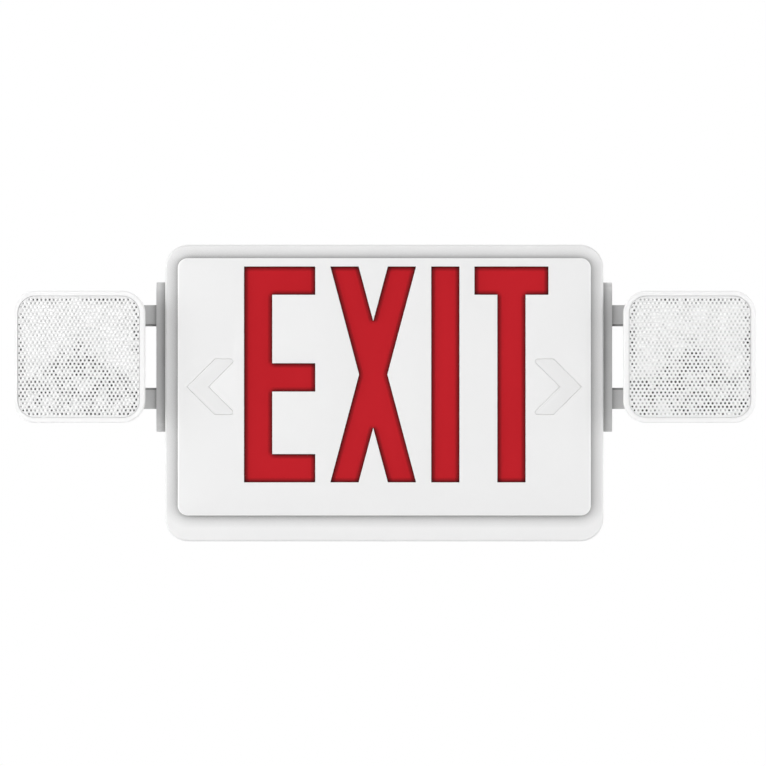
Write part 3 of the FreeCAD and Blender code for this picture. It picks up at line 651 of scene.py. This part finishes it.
def dress_everything():
    # the case gets painted shade in its corners, round the face plate
    white_case = moulded("case_plastic", (0.88, 0.88, 0.88), corners=9 * MM, corner_depth=1.4)
    # the face plate gets a painted highlight on its rounded edges
    white_face = moulded("face_plastic", (0.88, 0.88, 0.88), mottle=0.012, edge_highlight=True)
    white_insert = moulded("insert_plastic", (0.85, 0.85, 0.85))
    white_tray = moulded("tray_plastic", (0.82, 0.82, 0.80), 0.5)
    # the bracket's grey, darker than the head's white, is painted shade, and its corners get
    # painted shade too
    shaded_bracket = moulded("shaded_bracket_plastic", (0.72, 0.72, 0.72), 0.45, corners=5 * MM)
    head = moulded("head_plastic", (0.96, 0.96, 0.96), mottle=0.01)
    dark = moulded("dark_plastic", (0.05, 0.05, 0.055), 0.45)
    lens = prism_plastic()
    zinc = metal("zinc_plate", (0.62, 0.63, 0.65), 0.32)

    legend_face(white_face)
    for side in (-1, 1):
        direction_insert(side, white_insert)
    for side in ("left", "right"):
        prismatic_lens(side, lens)

    dress(["housing"], white_case, 0.45 * MM)
    dress(["back_plate"], white_tray, 0.3 * MM)
    dress(["light_box"], white_tray)
    dress(["red_diffuser"], translucent_red())
    dress(both("yoke"), shaded_bracket, 0.3 * MM)
    dress(both("head_shell"), head, 0.4 * MM)
    dress(both("pan_pins"), shaded_bracket, 0.3 * MM)
    dress(both("reflector"), metal("metallised", (0.88, 0.88, 0.89), 0.12))
    dress(both("friction_washer") + ["relay", "test_switch", "switch_plunger"], dark, 0.1 * MM)
    dress(both("stop_washer") + ["board_screws", "clip_screws", "battery_clip"], zinc, 0.1 * MM)
    dress(both("hub_nut"), white_tray, 0.2 * MM)
    dress(["led_strip_upper", "led_strip_lower"], moulded("white_board", (0.85, 0.85, 0.83)))
    dress(both("led_board"), metal("coated_aluminium", (0.80, 0.80, 0.80), 0.5))
    dress(["leds_upper", "leds_lower", "status_led"] + both("head_led"),
          moulded("led_resin", (0.85, 0.78, 0.40), 0.25))
    dress(["lamp_connectors"], white_insert)
    dress(["control_board"], moulded("green_board", (0.06, 0.24, 0.12), 0.35))
    dress(["terminal_block"], moulded("terminal_plastic", (0.10, 0.30, 0.16)))
    dress(["capacitors"], moulded("can_sleeve", (0.05, 0.06, 0.12), 0.25))
    dress(["transformer_core"], metal("laminations", (0.22, 0.22, 0.24), 0.55))
    dress(["transformer_coil"], moulded("winding_tape", (0.75, 0.60, 0.18), 0.4))
    dress(["battery_pack"], moulded("shrink_film", (0.05, 0.20, 0.40), 0.2))
    dress(["test_button"], moulded("button_plastic", (0.55, 0.05, 0.05)), 0.3 * MM)
    dress(["status_lens"], clear("pipe_plastic", (0.92, 0.95, 0.92), 0.05), 0.2 * MM)


# studio

view_width = 540.4 * MM  # what the frame spans at the face plate
view_distance = 4.0
view_x = -0.9 * MM
view_z = 7.1 * MM
sensor_width = 36.0
world_light = 0.27
side_dimming = 0.4  # how much darker the surroundings are to the sides
overhead_light = 0.36
overhead_span = (0.4, 1)  # upward part of a direction where that light starts and is full
side_lights = ((-1, 20.5), (1, 15.0))  # side and watts
side_light_place = (1.65, -0.95, 0.25)
side_light_size = 1.2
top_light = ((0, -1.2, 1.5), 0.7, 4.0)  # place, size and watts
back_light = ((0.5, 1.7, 1.0), 0.9, 8.0)
floor_place = (0, -0.8, -360 * MM)
floor_half = 1.6


def add_camera():
    face = -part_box("face_plate")[0].y
    data = bpy.data.cameras.new("camera")
    data.sensor_width = sensor_width
    data.lens = sensor_width * view_distance / view_width
    data.clip_end = 50
    camera = bpy.data.objects.new("camera", data)
    camera.location = (view_x, -face - view_distance, view_z)
    camera.rotation_euler = (math.radians(90), 0, 0)
    bpy.context.scene.collection.objects.link(camera)
    bpy.context.scene.camera = camera


def add_surroundings():
    """World that is pure white where it is seen, and lights dimly from the sides."""
    world = bpy.data.worlds.new("studio")
    world.use_nodes = True
    bpy.context.scene.world = world
    nodes, links = world.node_tree.nodes, world.node_tree.links
    path = nodes.new("ShaderNodeLightPath")
    seen = path.outputs["Is Camera Ray"]
    for name in ("Is Glossy Ray", "Is Transmission Ray"):
        seen = reckoned(nodes, links, "MAXIMUM", seen, path.outputs[name])
    place = nodes.new("ShaderNodeTexCoord")
    x, _, z = parted(nodes, links, place.outputs["Generated"])
    sideways = reckoned(nodes, links, "ABSOLUTE", x)
    around = mapped(nodes, links, sideways, (0, 1), world_light, world_light * (1 - side_dimming))
    above = mapped(nodes, links, z, overhead_span, 0, overhead_light, True)
    light = reckoned(nodes, links, "ADD", around, above)
    background = nodes["Background"]
    background.inputs["Color"].default_value = (*WHITE, 1)
    links.new(mapped(nodes, links, seen, (0, 1), light, 1), background.inputs["Strength"])


def soft_box(name, place, size, power):
    """Square light that faces the origin."""
    data = bpy.data.lights.new(name, "AREA")
    data.shape = "SQUARE"
    data.size = size
    data.energy = power
    light = bpy.data.objects.new(name, data)
    light.location = place
    light.rotation_euler = (-light.location).to_track_quat("-Z", "Y").to_euler()
    bpy.context.scene.collection.objects.link(light)


def add_lights():
    across, out, up = side_light_place
    for side, power in side_lights:
        place = (side * across, out, up)
        soft_box("left" if side < 0 else "right", place, side_light_size, power)
    soft_box("top", *top_light)
    soft_box("back", *back_light)


def add_floor():
    bm = bmesh.new()
    bmesh.ops.create_grid(bm, x_segments=1, y_segments=1, size=floor_half)
    mesh = bpy.data.meshes.new("floor")
    bm.to_mesh(mesh)
    bm.free()
    mesh.materials.append(moulded("pale_floor", (0.86, 0.86, 0.86), 0.7, grain_size=3 * MM))
    floor = bpy.data.objects.new("floor", mesh)
    floor.location = floor_place
    bpy.context.scene.collection.objects.link(floor)


bpy.context.scene.view_settings.view_transform = "Standard"
dress_everything()
add_camera()
add_surroundings()
add_lights()
add_floor()
